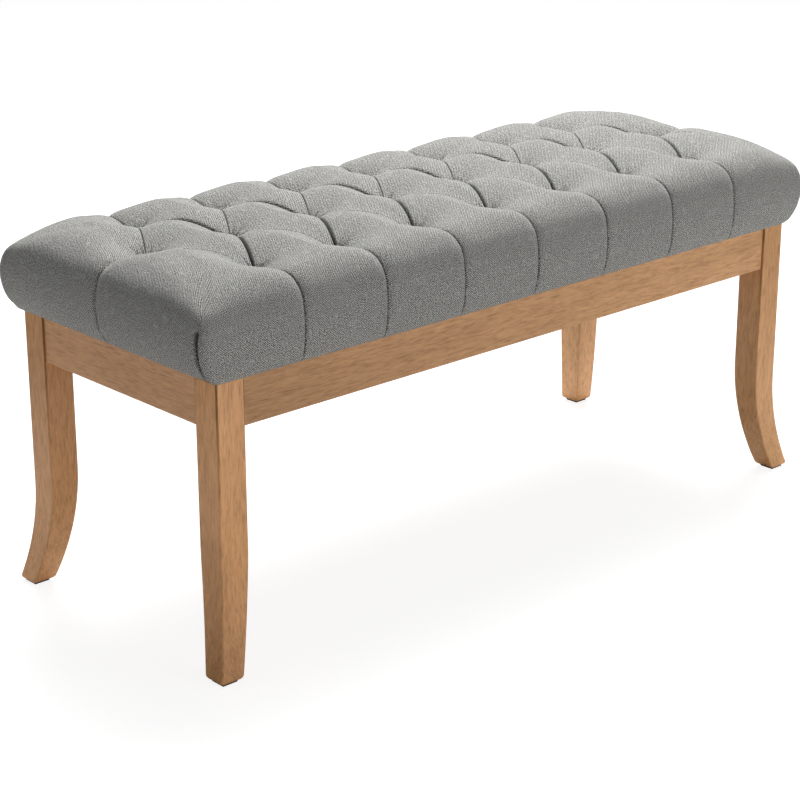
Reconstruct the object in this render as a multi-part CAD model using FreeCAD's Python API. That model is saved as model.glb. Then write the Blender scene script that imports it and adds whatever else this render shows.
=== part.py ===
import FreeCAD, Part
import math
import os

# Upholstered bench: a diamond-tufted seat pad on a low oak frame with four
# sabre legs. Millimetres, +Z up, X along the bench, the front faces -Y.
# The origin is on the floor, under the middle of the bench.

# Frame
frame_length = 1040.0       # over the outer faces of the legs, at the top
frame_width = 396.0
frame_top = 376.0           # top of the legs and rails above the floor
leg_width = 42.0            # square post at the top
leg_flare = 19.6            # outward sweep of the outer faces at the foot
foot_width = 33.9           # the leg tapers to this at the floor
outer_sweep_height = 143.0  # the outer faces leave the vertical here
inner_sweep_height = 166.0
leg_edge_round = 2.5        # in two flats
leg_sections = 8            # down the sweep, each a square with softened corners
foot_round = 5.0            # softened edge round the sole
pad_inset = 1.0             # stick-on pad, inside the flat of the sole
pad_thickness = 3.0

rail_height = 61.0
rail_thickness = 22.0
rail_recess = 2.5           # rails sit back from the faces of the legs
rail_edge_round = 2.0

dowel_diameter = 10.0
dowel_length = 44.0
dowel_in_leg = 20.0
dowel_spacing = 32.0

# Corner blocks, one behind each leg
block_height = 40.0
block_thickness = 25.0      # across the diagonal
block_leg_gap = 2.0         # lets the bolt draw the leg up tight

leg_bolt_diameter = 8.0
leg_bolt_in_leg = 26.0
leg_bolt_beyond_nut = 4.0
nut_width = 13.0            # across flats
nut_thickness = 6.5
washer_diameter = 22.0
washer_thickness = 2.0

block_screw_diameter = 4.2
block_screw_head_diameter = 8.4
block_screw_head_height = 3.0
block_screw_in_rail = 13.0
block_screw_wood = 10.0     # block wood left under the screw head
block_screw_share = 0.75    # how far across the block the screws stand
block_screw_spacing = 20.0  # two screws into each rail, one above the other

# Seat board and its fixings
board_thickness = 15.0
board_corner_round = 8.0
seat_screw_diameter = 4.5
seat_screw_head_diameter = 9.0
seat_screw_head_height = 3.0
seat_screw_in_board = 11.0
seat_screw_offset = 14.0    # along the block, clear of the leg bolt
bracket_width = 18.0
bracket_leg = 25.0
bracket_thickness = 2.0

# Upholstery
cover_cloth = 1.5           # cloth turned under the board
cover_turn_under = 20.0
cover_side = 3.0            # cloth and wadding beside the board
tuft_wadding = 8.0          # wadding and cloth between a tuft and the foam
crown_height = 124.0        # pillow tops above the frame
tuft_height = 80.0          # tuft bottoms above the frame
tuft_pitch = 131.0          # along the bench
tuft_row_spacing = 125.0
front_tufts = 7             # the rows hold 7, 8 and 7 tufts
crease_rise = 14.0          # a crease climbs this much between two tufts
crease_gap = 3.0            # half the width left where two creases meet
diamond_slope = 0.7         # how steeply a diamond rises from its creases
pillow_crest = 83.0         # crest of an outer pillow, in from the frame face
pillow_shoulder = 18.0      # its top edge, in from the frame face
shoulder_drop = 11.0        # from the crest down to the top edge
pleat_crest = 43.0          # the same along a pleat, which lies lower
pleat_shoulder = 8.0
pleat_drop = 22.0
pleat_bulge = 0.75          # share of the side bulge that a pleat leaves
end_pleat_drop = 20.0
end_pleat_run = 33.0        # the end pleat climbs out of its tuft over this
bulge_height = 62.0         # fullest part of the sides above the frame
front_bulge = 13.0
end_bulge = 28.0
end_shoulder = 50.0         # the top starts to round off this far inside the end
corner_round = 18.0         # plan radius of the corners where they are fullest
side_run_counts = (2, 3, 2, 3)          # straight runs along each arc, hem to crease
# Where the middle of each of those arcs stands between its ends, across and up
side_middles = ((0.74, 0.33), (0.30, 0.62), (0.50, 0.76), (0.62, 0.34))
diamond_run_count = 4
pleat_steps = (0.08, 0.3, 0.55, 0.8)    # sections beside a pleat, in half pitches
end_steps = (0.2, 0.6)      # sections from the last tuft to the end of the frame
end_angles = (0, 30, 60, 80)            # and from there round the end
flat_tolerance = 1e-7       # a patch bent less than this is one flat face

# Tufting twine, through the board and knotted under it
twine_diameter = 3.0
knot_diameter = 10.0
knot_thickness = 2.5

# Black cloth under the board
dust_cover_thickness = 0.8
dust_cover_depth = 4.0      # hangs clear of the knots
dust_cover_inset = 27.0     # from the rails
dust_cover_block_gap = 6.0

half_length = frame_length / 2
half_width = frame_width / 2
board_bottom = frame_top + cover_cloth
board_top = board_bottom + board_thickness
foam_top = frame_top + tuft_height - tuft_wadding
rail_bottom = frame_top - rail_height

up = FreeCAD.Vector(0, 0, 1)
along = FreeCAD.Vector(1, 0, 0)
across = FreeCAD.Vector(0, 1, 0)
centre = FreeCAD.Vector(0, 0, 0)

os.makedirs("parts", exist_ok=True)


def save(name, shape):
    shape.exportStep("parts/" + name + ".step")


def point(x, y, z):
    return FreeCAD.Vector(x, y, z)


def box(x0, x1, y0, y1, z0, z1):
    return Part.makeBox(x1 - x0, y1 - y0, z1 - z0, point(x0, y0, z0))


def rod(diameter, length, base, direction, sides=6):
    """A screw or strand, or the hole for one, as a many-sided bar."""
    upright = abs(direction.z) > 0.5
    first = along if upright else up
    second = direction.cross(first)
    ring = []
    for k in range(sides + 1):
        angle = 2 * math.pi * k / sides
        offset = first * math.cos(angle) + second * math.sin(angle)
        ring.append(base + offset * (diameter / 2))
    return Part.Face(Part.makePolygon(ring)).extrude(direction * length)


def prism(outline, z0, z1):
    """An upright solid on a closed outline of (x, y) corners."""
    corners = [point(x, y, z0) for x, y in outline]
    face = Part.Face(Part.makePolygon(corners + corners[:1]))
    return face.extrude(up * (z1 - z0))


def rounded_block(x, y, radius, z0, z1):
    """A block centred on the bench, its upright edges rounded."""
    block = box(-x, x, -y, y, z0, z1)
    upright = [e for e in block.Edges if abs(e.BoundBox.ZLength - (z1 - z0)) < 0.01]
    return block.makeFillet(radius, upright)


def at_corner(shape, x_side, y_side):
    """Copy what is made for the +X +Y corner to another corner."""
    if x_side < 0:
        shape = shape.mirror(centre, along)
    if y_side < 0:
        shape = shape.mirror(centre, across)
    return shape


corners = {
    "front_left": (-1, -1),
    "front_right": (1, -1),
    "rear_left": (-1, 1),
    "rear_right": (1, 1),
}


# Fixings of the +X +Y corner, in the order that they go in.

leg_inner_x = half_length - leg_width
leg_inner_y = half_width - leg_width
rail_face_x = half_length - rail_recess - rail_thickness
rail_face_y = half_width - rail_recess - rail_thickness


def corner_dowels(diameter):
    """Two dowels from each rail into the leg."""
    rail_middle = frame_top - rail_height / 2
    rail_x = half_length - rail_recess - rail_thickness / 2
    rail_y = half_width - rail_recess - rail_thickness / 2
    dowels = []
    for step in (-0.5, 0.5):
        z = rail_middle + step * dowel_spacing
        start = leg_inner_x + dowel_in_leg - dowel_length
        dowels.append(rod(diameter, dowel_length, point(start, rail_y, z), along, 8))
        start = leg_inner_y + dowel_in_leg - dowel_length
        dowels.append(rod(diameter, dowel_length, point(rail_x, start, z), across, 8))
    return dowels


# The block's two long faces run at 45 degrees, square to the diagonal of the
# leg. Its distance inward is measured along that diagonal from the leg's edge.
inward = point(-1, -1, 0) / math.sqrt(2)
sideways = point(1, -1, 0) / math.sqrt(2)
leg_edge = point(leg_inner_x, leg_inner_y, 0)
block_near = block_leg_gap
block_far = block_leg_gap + block_thickness
block_middle_z = frame_top - block_height / 2


def block_diagonal(distance):
    """Length along a rail from the leg to a line across the corner."""
    return distance * math.sqrt(2)


def corner_block_blank():
    """A wedge of wood between the rails, its ends cut to lie flat on them."""
    gap_x = rail_face_x - leg_inner_x
    gap_y = rail_face_y - leg_inner_y
    near = block_diagonal(block_near)
    far = block_diagonal(block_far)
    outline = [
        (leg_inner_x - near - gap_y, rail_face_y),
        (leg_inner_x - far - gap_y, rail_face_y),
        (rail_face_x, leg_inner_y - far - gap_x),
        (rail_face_x, leg_inner_y - near - gap_x),
    ]
    return prism(outline, frame_top - block_height, frame_top)


def on_diagonal(distance, z):
    return leg_edge + inward * distance + up * z


leg_bolt_end = block_far + washer_thickness + nut_thickness + leg_bolt_beyond_nut


def leg_bolt():
    start = on_diagonal(-leg_bolt_in_leg, block_middle_z)
    return rod(leg_bolt_diameter, leg_bolt_in_leg + leg_bolt_end, start, inward, 8)


def leg_washer():
    start = on_diagonal(block_far, block_middle_z)
    disc = rod(washer_diameter, washer_thickness, start, inward, 12)
    return disc.cut(leg_bolt())


def leg_nut():
    start = on_diagonal(block_far + washer_thickness, block_middle_z)
    over_corners = nut_width / math.cos(math.radians(30))
    return rod(over_corners, nut_thickness, start, inward).cut(leg_bolt())


def block_screws():
    """Screws from pockets in the block's far face, square into each rail."""
    reach = block_diagonal(block_near + block_thickness * block_screw_share)
    screws = []
    pockets = []
    for step in (-0.5, 0.5):
        z = block_middle_z + step * block_screw_spacing
        places = (
            (point(leg_inner_x - reach, rail_face_y, z), across),
            (point(rail_face_x, leg_inner_y - reach, z), along),
        )
        for wall, direction in places:
            seat = wall - direction * block_screw_wood
            length = block_screw_wood + block_screw_in_rail
            shank = rod(block_screw_diameter, length, seat, direction)
            head_start = seat - direction * block_screw_head_height
            head = rod(block_screw_head_diameter, block_screw_head_height, head_start, direction)
            screws.append(shank.fuse(head).removeSplitter())
            pocket = rod(block_screw_head_diameter, block_thickness * 2, seat, -direction)
            pockets.append(pocket.fuse(shank))
    return screws, pockets


def seat_screw():
    """Up through the block, beside the leg bolt, into the seat board."""
    middle = (block_near + block_far) / 2
    place = on_diagonal(middle, frame_top - block_height) + sideways * seat_screw_offset
    grip = block_height + cover_cloth
    shank = rod(seat_screw_diameter, grip + seat_screw_in_board, place, up)
    head = rod(seat_screw_head_diameter, seat_screw_head_height, place, -up)
    return shank.fuse(head).removeSplitter()


# Legs. The same sweep is sawn in the front view and in the side view, so each
# leg flares along its own diagonal and stays square in section.

def sweep_out(z, knee, flare):
    """How far an arc that leaves the vertical at the knee has swept out."""
    fall = knee - pad_thickness
    radius = (fall ** 2 + flare ** 2) / (2 * flare)
    below = max(0.0, knee - z)
    return radius - math.sqrt(radius ** 2 - below ** 2)


def softened_square(low, high, soft, z):
    """Square on the leg's diagonal, its corners taken off in two flats."""
    shift = half_width - half_length
    near = soft * (1 - 1 / math.sqrt(2))
    quarter = [(low, low + soft), (low + near, low + near), (low + soft, low)]
    outline = quarter + [(low + high - y, x) for x, y in quarter]
    outline += [(low + high - x, low + high - y) for x, y in outline]
    ring = [point(x, y + shift, z) for x, y in outline]
    return Part.makePolygon(ring + ring[:1])


def leg_section(z, inset=0.0):
    inner_flare = leg_flare + leg_width - foot_width
    outer = half_length + sweep_out(z, outer_sweep_height, leg_flare)
    inner = leg_inner_x + sweep_out(z, inner_sweep_height, inner_flare)
    return softened_square(inner + inset, outer - inset, leg_edge_round, z)


def leg_blank():
    sections = [leg_section(frame_top)]
    foot_start = pad_thickness + foot_round
    for k in range(leg_sections + 1):
        z = inner_sweep_height + (foot_start - inner_sweep_height) * k / leg_sections
        sections.append(leg_section(z))
    for angle in (45, 90):
        down = foot_round * math.sin(math.radians(angle))
        inset = foot_round * (1 - math.cos(math.radians(angle)))
        sections.append(leg_section(foot_start - down, inset))
    return Part.makeLoft(sections, True, True)


leg = leg_blank().cut(corner_dowels(dowel_diameter)).cut(leg_bolt())
foot_middle = leg_flare - foot_width / 2
pad_reach = foot_width / 2 - foot_round - pad_inset
foot_pad = box(-pad_reach, pad_reach, -pad_reach, pad_reach, 0, pad_thickness)
foot_pad.translate(point(half_length + foot_middle, half_width + foot_middle, 0))

screws, screw_pockets = block_screws()
corner_block = corner_block_blank().cut(screw_pockets + [leg_bolt(), seat_screw()])

for corner, (x_side, y_side) in corners.items():
    save("leg_" + corner, at_corner(leg, x_side, y_side))
    save("foot_pad_" + corner, at_corner(foot_pad, x_side, y_side))
    save("corner_block_" + corner, at_corner(corner_block, x_side, y_side))


def at_every_corner(shapes):
    """The same small pieces at all four corners, as one group."""
    copies = []
    for x_side, y_side in corners.values():
        copies += [at_corner(shape, x_side, y_side) for shape in shapes]
    return copies


dowels = at_every_corner(corner_dowels(dowel_diameter))
all_block_screws = at_every_corner(screws)
corner_seat_screws = at_every_corner([seat_screw()])
save("rail_dowels", Part.makeCompound(dowels))
save("leg_bolts", Part.makeCompound(at_every_corner([leg_bolt()])))
save("leg_bolt_washers", Part.makeCompound(at_every_corner([leg_washer()])))
save("leg_bolt_nuts", Part.makeCompound(at_every_corner([leg_nut()])))
save("block_screws", Part.makeCompound(all_block_screws))


# Steel brackets hold the board to the middle of the two long rails.

bracket_inner = bracket_leg - bracket_thickness


def seat_bracket():
    y_wall = rail_face_y
    x = bracket_width / 2
    upright = box(-x, x, y_wall - bracket_thickness, y_wall, board_bottom - bracket_leg, board_bottom)
    flat = box(-x, x, y_wall - bracket_leg, y_wall, board_bottom - bracket_thickness, board_bottom)
    return upright.fuse(flat).removeSplitter()


def bracket_screws():
    """One screw into the rail and one up into the board."""
    middle = bracket_thickness + bracket_inner / 2
    wall_seat = point(0, rail_face_y - bracket_thickness, board_bottom - middle)
    board_seat = point(0, rail_face_y - middle, board_bottom - bracket_thickness)
    pair = []
    for seat, direction in ((wall_seat, across), (board_seat, up)):
        shank = rod(seat_screw_diameter, bracket_thickness + seat_screw_in_board, seat, direction)
        head = rod(seat_screw_head_diameter, seat_screw_head_height, seat, -direction)
        pair.append(shank.fuse(head).removeSplitter())
    return pair


rear_bracket = seat_bracket().cut(bracket_screws())
both_brackets = [rear_bracket, rear_bracket.mirror(centre, across)]
all_bracket_screws = bracket_screws() + [s.mirror(centre, across) for s in bracket_screws()]
save("seat_brackets", Part.makeCompound(both_brackets))
save("seat_screws", Part.makeCompound(corner_seat_screws + all_bracket_screws))


# Rails, doweled between the legs

def rail(x0, x1, y0, y1):
    blank = box(x0, x1, y0, y1, rail_bottom, frame_top)
    long_x = (x1 - x0) > (y1 - y0)
    lower = []
    for edge in blank.Edges:
        length = edge.BoundBox.XLength if long_x else edge.BoundBox.YLength
        if edge.BoundBox.ZMax < rail_bottom + 0.01 and length > rail_thickness * 2:
            lower.append(edge)
    return blank.makeFillet(rail_edge_round, lower)


rear_rail_blank = rail(-leg_inner_x, leg_inner_x, rail_face_y, rail_face_y + rail_thickness)
right_rail_blank = rail(rail_face_x, rail_face_x + rail_thickness, -leg_inner_y, leg_inner_y)
rail_cuts = dowels + all_block_screws + all_bracket_screws
rear_rail = rear_rail_blank.cut(rail_cuts)
right_rail = right_rail_blank.cut(rail_cuts)
save("rear_rail", rear_rail)
save("front_rail", rear_rail.mirror(centre, across))
save("right_end_rail", right_rail)
save("left_end_rail", right_rail.mirror(centre, along))


# Tufts: three rows, the middle one half a pitch out of step and one longer

def row_places(count):
    return [(k - (count - 1) / 2) * tuft_pitch for k in range(count)]


front_row = row_places(front_tufts)
middle_row = row_places(front_tufts + 1)
tufts = [(x, 0.0) for x in middle_row]
tufts += [(x, -tuft_row_spacing) for x in front_row]
tufts += [(x, tuft_row_spacing) for x in front_row]


def twine(x, y):
    """Down from the cover at a tuft, through foam and board, to its knot."""
    strand = rod(twine_diameter, foam_top - board_bottom, point(x, y, board_bottom), up)
    knot = rod(knot_diameter, knot_thickness, point(x, y, board_bottom), -up)
    return strand.fuse(knot).removeSplitter()


twines = [twine(x, y) for x, y in tufts]
save("tufting_twine", Part.makeCompound(twines))

board_x = half_length - cover_side
board_y = half_width - cover_side
board_blank = rounded_block(board_x, board_y, board_corner_round, board_bottom, board_top)
seat_board = board_blank.cut(twines + corner_seat_screws + all_bracket_screws)
save("seat_board", seat_board)

foam_blank = rounded_block(board_x, board_y, board_corner_round, board_top, foam_top)
save("foam_pad", foam_blank.cut(twines))


# Dust cover: a shallow tray of black cloth stapled up under the board. Its
# corners are cut off behind the corner blocks.

def tray_outline(inset):
    """Corners of the tray, or of its inside when inset by the cloth."""
    x = rail_face_x - dust_cover_inset - inset
    y = rail_face_y - dust_cover_inset - inset
    diagonal = block_diagonal(block_far + dust_cover_block_gap + inset)
    x_cut = leg_inner_x - diagonal + (leg_inner_y - y)
    y_cut = leg_inner_y - diagonal + (leg_inner_x - x)
    return [
        (x, y_cut), (x_cut, y), (-x_cut, y), (-x, y_cut),
        (-x, -y_cut), (-x_cut, -y), (x_cut, -y), (x, -y_cut),
    ]


tray_bottom = board_bottom - dust_cover_depth
tray_outside = prism(tray_outline(0), tray_bottom, board_bottom)
tray_inside = prism(tray_outline(dust_cover_thickness), tray_bottom + dust_cover_thickness, board_bottom)
dust_cover = tray_outside.cut(tray_inside)
save("dust_cover", dust_cover)


# Seat cover: cloth over wadding. Each cross-section runs over the front
# pillow, the diamond between the two creases and the rear pillow, in straight
# runs along arcs. The sections follow the tufts along the bench.

crown = frame_top + crown_height
tuft_bottom = frame_top + tuft_height
bulge_level = frame_top + bulge_height
end_x = half_length + end_bulge
last_tuft = middle_row[-1]


def pillow(t):
    """Rises steeply from 0 at a pleat, then flattens to 1 half a pitch on."""
    return math.sqrt(1 - (1 - t) ** 2)


def mix(low, high, share):
    return low + (high - low) * share


def pleat_distance(x):
    """0 at a front-row tuft and its pleat, 1 at a middle-row tuft."""
    if abs(x) >= last_tuft:
        return 1.0
    from_middle_row = (x + last_tuft) % tuft_pitch
    return abs(from_middle_row / (tuft_pitch / 2) - 1)


def crease_height(x, t):
    """Height of the crease: low at both tufts, and rising past the last one."""
    if abs(x) <= last_tuft:
        return tuft_bottom + crease_rise * math.sin(math.pi * t)
    climb = min(1.0, (abs(x) - last_tuft) / end_pleat_run)
    return mix(tuft_bottom, crown - end_pleat_drop, math.sqrt(climb))


def side_outline(x):
    """Up one side, from the hem to the crease, as four arcs in (y, z)."""
    t = pleat_distance(x)
    full = pillow(t)
    bulge = front_bulge * mix(pleat_bulge, 1, full)
    hem = (half_width, frame_top)
    widest = (half_width + bulge, bulge_level)
    crest = (mix(half_width - pleat_crest, half_width - pillow_crest, t),
             crown - pleat_drop * (1 - full))
    shoulder = (half_width - mix(pleat_shoulder, pillow_shoulder, full),
                crest[1] - shoulder_drop)
    crease = (max(crease_gap, tuft_row_spacing * (1 - t)), crease_height(x, t))

    ends = [hem, widest, shoulder, crest, crease]
    arcs = []
    for a, b, (share_y, share_z) in zip(ends, ends[1:], side_middles):
        arcs.append([a, (mix(a[0], b[0], share_y), mix(a[1], b[1], share_z)), b])
    return arcs


def diamond_top(x):
    """Height of the diamond over the middle line of the bench."""
    t = pleat_distance(x)
    width = max(crease_gap, tuft_row_spacing * (1 - t))
    low = crease_height(x, t)
    rise = crown - low
    return low + rise * math.tanh(diamond_slope * width / rise)


def end_shares(x):
    """How far the end rounding leaves the top, the bottom and the width."""
    beyond = max(0.0, abs(x) - (half_length - end_shoulder))
    top = math.sqrt(1 - (beyond / (end_bulge + end_shoulder)) ** 2)
    beyond = max(0.0, abs(x) - half_length)
    bottom = math.sqrt(1 - (beyond / end_bulge) ** 2)
    beyond = max(0.0, abs(x) - (end_x - corner_round))
    narrowing = corner_round * (1 - math.sqrt(1 - (beyond / corner_round) ** 2))
    return top, bottom, 1 - narrowing / (half_width + front_bulge)


def along_arc(ends_and_middle, count):
    """Points that split the arc through three points, without the first."""
    arc = Part.Arc(*ends_and_middle)
    first, last = arc.FirstParameter, arc.LastParameter
    return [arc.value(mix(first, last, (k + 1) / count)) for k in range(count)]


def cover_section(x):
    top, bottom, narrow = end_shares(x)

    def place(y, z):
        share = top if z > bulge_level else bottom
        return point(x, y * narrow, bulge_level + (z - bulge_level) * share)

    outline = [place(-half_width, frame_top)]
    for arc, count in zip(side_outline(x), side_run_counts):
        outline += along_arc([place(-y, z) for y, z in arc], count)
    rear = [point(p.x, -p.y, p.z) for p in reversed(outline)]
    diamond = [outline[-1], place(0, diamond_top(x)), rear[0]]
    outline += along_arc(diamond, diamond_run_count)
    return outline + rear[1:]


def section_places():
    """Close together at the pleats and the ends, wider apart between."""
    places = list(middle_row)
    for x in front_row:
        places.append(x)
        for t in pleat_steps:
            places += [x + t * tuft_pitch / 2, x - t * tuft_pitch / 2]
    for x_side in (-1, 1):
        for share in end_steps:
            places.append(x_side * mix(last_tuft, half_length, share))
        for angle in end_angles:
            places.append(x_side * (half_length + end_bulge * math.sin(math.radians(angle))))
    return sorted(places)


def flat_face(*ring):
    return Part.Face(Part.makePolygon(list(ring) + [ring[0]]))


def skin(near, far):
    """Flat faces between two cross-sections, folded where a patch is twisted."""
    faces = []
    for k, a in enumerate(near):
        b = near[(k + 1) % len(near)]
        c = far[(k + 1) % len(near)]
        d = far[k]
        twist = abs((b - a).cross(d - a).normalize().dot(c - a))
        if twist < flat_tolerance:
            faces.append(flat_face(a, b, c, d))
        elif a.distanceToPoint(c) < b.distanceToPoint(d):
            faces += [flat_face(a, b, c), flat_face(a, c, d)]
        else:
            faces += [flat_face(a, b, d), flat_face(b, c, d)]
    return faces


sections = [cover_section(x) for x in section_places()]
cover_faces = [flat_face(*sections[0]), flat_face(*sections[-1])]
for near, far in zip(sections, sections[1:]):
    cover_faces += skin(near, far)
cover_outside = Part.makeSolid(Part.makeShell(cover_faces))
pocket = rounded_block(board_x, board_y, board_corner_round, board_bottom, foam_top)
opening_x = board_x - cover_turn_under
opening_y = board_y - cover_turn_under
opening = box(-opening_x, opening_x, -opening_y, opening_y, frame_top, board_bottom)
seat_cover = cover_outside.cut(pocket.fuse(opening))
save("seat_cover", seat_cover)
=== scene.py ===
import math

import bmesh
import bpy
import numpy as np
from mathutils import Matrix, Vector


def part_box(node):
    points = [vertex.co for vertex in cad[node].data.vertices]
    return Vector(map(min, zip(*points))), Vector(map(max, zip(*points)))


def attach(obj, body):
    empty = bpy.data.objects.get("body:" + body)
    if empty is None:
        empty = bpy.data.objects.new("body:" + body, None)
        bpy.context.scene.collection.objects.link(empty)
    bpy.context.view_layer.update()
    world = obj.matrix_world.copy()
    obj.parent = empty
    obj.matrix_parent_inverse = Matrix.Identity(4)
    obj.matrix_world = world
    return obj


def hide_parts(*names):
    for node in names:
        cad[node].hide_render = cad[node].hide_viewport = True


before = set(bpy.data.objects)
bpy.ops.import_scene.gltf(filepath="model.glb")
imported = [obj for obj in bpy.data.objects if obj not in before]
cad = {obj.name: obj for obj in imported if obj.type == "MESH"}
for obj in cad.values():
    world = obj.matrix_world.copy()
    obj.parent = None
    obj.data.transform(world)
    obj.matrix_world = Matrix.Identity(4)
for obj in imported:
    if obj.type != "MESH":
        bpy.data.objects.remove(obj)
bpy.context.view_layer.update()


# Legs. Four sabre legs of honey-coloured hardwood, square at the top and sawn to the same outward
# sweep in the front and the side view. Their edges are softened with sandpaper and they are lacquered
# satin. Dowels and a leg bolt hold each of them to two rails.

frame_half_length = 0.520
frame_half_width = 0.198
frame_top = 0.376
leg_width = 0.042
leg_flare = 0.0196
foot_width = 0.0339
outer_knee = 0.143
inner_knee = 0.166
sole = 0.003
leg_edge_round = 0.0025
leg_edge_steps = 4
foot_round = 0.005
sweep_steps = 24
foot_round_steps = 5

honey_light = (0.880, 0.490, 0.215)
honey_mid = (0.770, 0.410, 0.174)
honey_dark = (0.560, 0.278, 0.108)


class NodeTree:
    """Small helper to wire a material's nodes."""

    def __init__(self, name):
        self.material = bpy.data.materials.new(name)
        self.material.use_nodes = True
        self.tree = self.material.node_tree
        self.tree.nodes.clear()
        self.shader = self.add("ShaderNodeBsdfPrincipled")
        output = self.add("ShaderNodeOutputMaterial")
        self.join(self.shader, "BSDF", output, "Surface")

    def add(self, kind, **settings):
        node = self.tree.nodes.new(kind)
        for key, value in settings.items():
            if hasattr(node, key):
                setattr(node, key, value)
            else:
                node.inputs[key.replace("_", " ").title()].default_value = value
        return node

    def join(self, source, out, target, into):
        self.tree.links.new(source.outputs[out], target.inputs[into])

    def stretched(self, source, scale):
        """The coordinates of source, squeezed by a scale for each axis."""
        mapping = self.add("ShaderNodeMapping")
        mapping.inputs["Scale"].default_value = scale
        self.join(*source, mapping, "Vector")
        return mapping, "Vector"

    def noise(self, place, scale, detail=3.0, roughness=0.5, distortion=0.0):
        texture = self.add("ShaderNodeTexNoise", scale=scale, detail=detail,
                           roughness=roughness, distortion=distortion)
        self.join(*place, texture, "Vector")
        return texture, "Fac"

    def ramp(self, source, stops):
        """Turn a value into a colour through stops of (place, colour)."""
        node = self.add("ShaderNodeValToRGB")
        elements = node.color_ramp.elements
        while len(elements) < len(stops):
            elements.new(0.5)
        for element, (place, colour) in zip(elements, stops):
            element.position = place
            element.color = tuple(colour) + (1.0,)
        self.join(*source, node, "Fac")
        return node, "Color"

    def step(self, source, low, high, to_low=0.0, to_high=1.0):
        node = self.add("ShaderNodeMapRange", clamp=True)
        node.inputs["From Min"].default_value = low
        node.inputs["From Max"].default_value = high
        node.inputs["To Min"].default_value = to_low
        node.inputs["To Max"].default_value = to_high
        self.join(*source, node, "Value")
        return node, "Result"

    def blend(self, share, first, second, how="MIX"):
        node = self.add("ShaderNodeMix", data_type="RGBA", blend_type=how)
        if isinstance(share, float):
            node.inputs[0].default_value = share
        else:
            self.join(*share, node, 0)
        for socket, value in ((6, first), (7, second)):
            if isinstance(value[0], float):
                node.inputs[socket].default_value = tuple(value) + (1.0,)
            else:
                self.join(*value, node, socket)
        return node, 2

    def calc(self, operation, first, second):
        node = self.add("ShaderNodeMath", operation=operation)
        for socket, value in ((0, first), (1, second)):
            if isinstance(value, float):
                node.inputs[socket].default_value = value
            else:
                self.join(*value, node, socket)
        return node, "Value"

    def bump(self, height, depth):
        node = self.add("ShaderNodeBump")
        node.inputs["Strength"].default_value = 1.0
        node.inputs["Distance"].default_value = depth
        self.join(*height, node, "Height")
        self.join(node, "Normal", self.shader, "Normal")


def honey_wood(name, grain, tone_and_painted_light=1.0, left_end_painted_shade=1.0):
    """Straight-grained hardwood, its grain along one axis of the bench.

    Both tones are 1 for the bare wood. They bring a board, and its left end, to its brightness in
    the photograph, where the lights alone don't. The left end's tone is painted shade, darkening the
    board towards its left end; a board's tone is partly its own brightness and partly painted light.
    """
    wood = NodeTree(name)
    place = (wood.add("ShaderNodeTexCoord"), "Object")
    slow = [0.13 if axis == grain else 1.0 for axis in "xyz"]
    fine = [0.06 if axis == grain else 1.0 for axis in "xyz"]
    streaks = wood.noise(wood.stretched(place, slow), 340.0, 6.0, 0.70, 0.5)
    bands = wood.noise(wood.stretched(place, slow), 17.0, 3.0, 0.55, 0.8)
    pores = wood.noise(wood.stretched(place, fine), 620.0, 2.0, 0.5, 0.0)
    patches = wood.noise(place, 9.0, 2.0, 0.5, 0.0)
    stops = [(0.30, honey_dark), (0.50, honey_mid), (0.70, honey_light)]
    colour = wood.ramp(streaks, [(at, [part * tone_and_painted_light for part in shade]) for at, shade in stops])
    banded = wood.ramp(bands, [(0.32, (0.84, 0.81, 0.78)), (0.66, (1.0, 1.0, 1.0))])
    colour = wood.blend(1.0, colour, banded, "MULTIPLY")
    cloudy = wood.ramp(patches, [(0.30, (0.92, 0.91, 0.90)), (0.70, (1.0, 1.0, 1.0))])
    colour = wood.blend(1.0, colour, cloudy, "MULTIPLY")
    specks = wood.ramp(pores, [(0.34, (0.70, 0.62, 0.55)), (0.44, (1.0, 1.0, 1.0))])
    colour = wood.blend(0.65, colour, wood.blend(1.0, colour, specks, "MULTIPLY"))
    position = wood.add("ShaderNodeSeparateXYZ")
    wood.join(*place, position, "Vector")
    # Painted shade: the colour darkens towards the left end by the left end's tone.
    painted_shade_toward_left = wood.step((position, "X"), 0.15, -0.45)
    painted_shade_colour = wood.blend(1.0, colour, (left_end_painted_shade, left_end_painted_shade * 0.97, left_end_painted_shade * 0.96), "MULTIPLY")
    colour = wood.blend(painted_shade_toward_left, colour, painted_shade_colour)
    wood.join(*colour, wood.shader, "Base Color")
    wood.join(*wood.step(streaks, 0.3, 0.7, 0.52, 0.42), wood.shader, "Roughness")
    wood.bump(wood.calc("ADD", streaks, pores), 0.00012)
    return wood.material


# The front left leg is the brightest; its tone above that of the other legs is painted light.
upright_wood = honey_wood("honey_wood_upright", "z", tone_and_painted_light=1.1)
front_left_wood = honey_wood("honey_wood_front_left_leg", "z", tone_and_painted_light=1.24)


def sweep_out(z, knee, flare):
    """How far a face stands out at height z: an arc that starts upright at the knee."""
    fall = knee - sole
    radius = (fall ** 2 + flare ** 2) / (2 * flare)
    below = max(0.0, knee - z)
    return radius - math.sqrt(radius ** 2 - below ** 2)


def leg_ring(z, x_side, y_side, inset=0.0):
    """One level of a leg: a square with round corners, on the leg's diagonal."""
    high = sweep_out(z, outer_knee, leg_flare) - inset
    low = sweep_out(z, inner_knee, leg_flare + leg_width - foot_width) - leg_width + inset
    r = leg_edge_round
    ring = []
    for cx, cy, start in ((high - r, high - r, 0), (low + r, high - r, 90),
                          (low + r, low + r, 180), (high - r, low + r, 270)):
        for k in range(leg_edge_steps + 1):
            angle = math.radians(start + 90 / leg_edge_steps * k)
            x = frame_half_length + cx + r * math.cos(angle)
            y = frame_half_width + cy + r * math.sin(angle)
            ring.append((x_side * x, y_side * y, z))
    return ring


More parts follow.
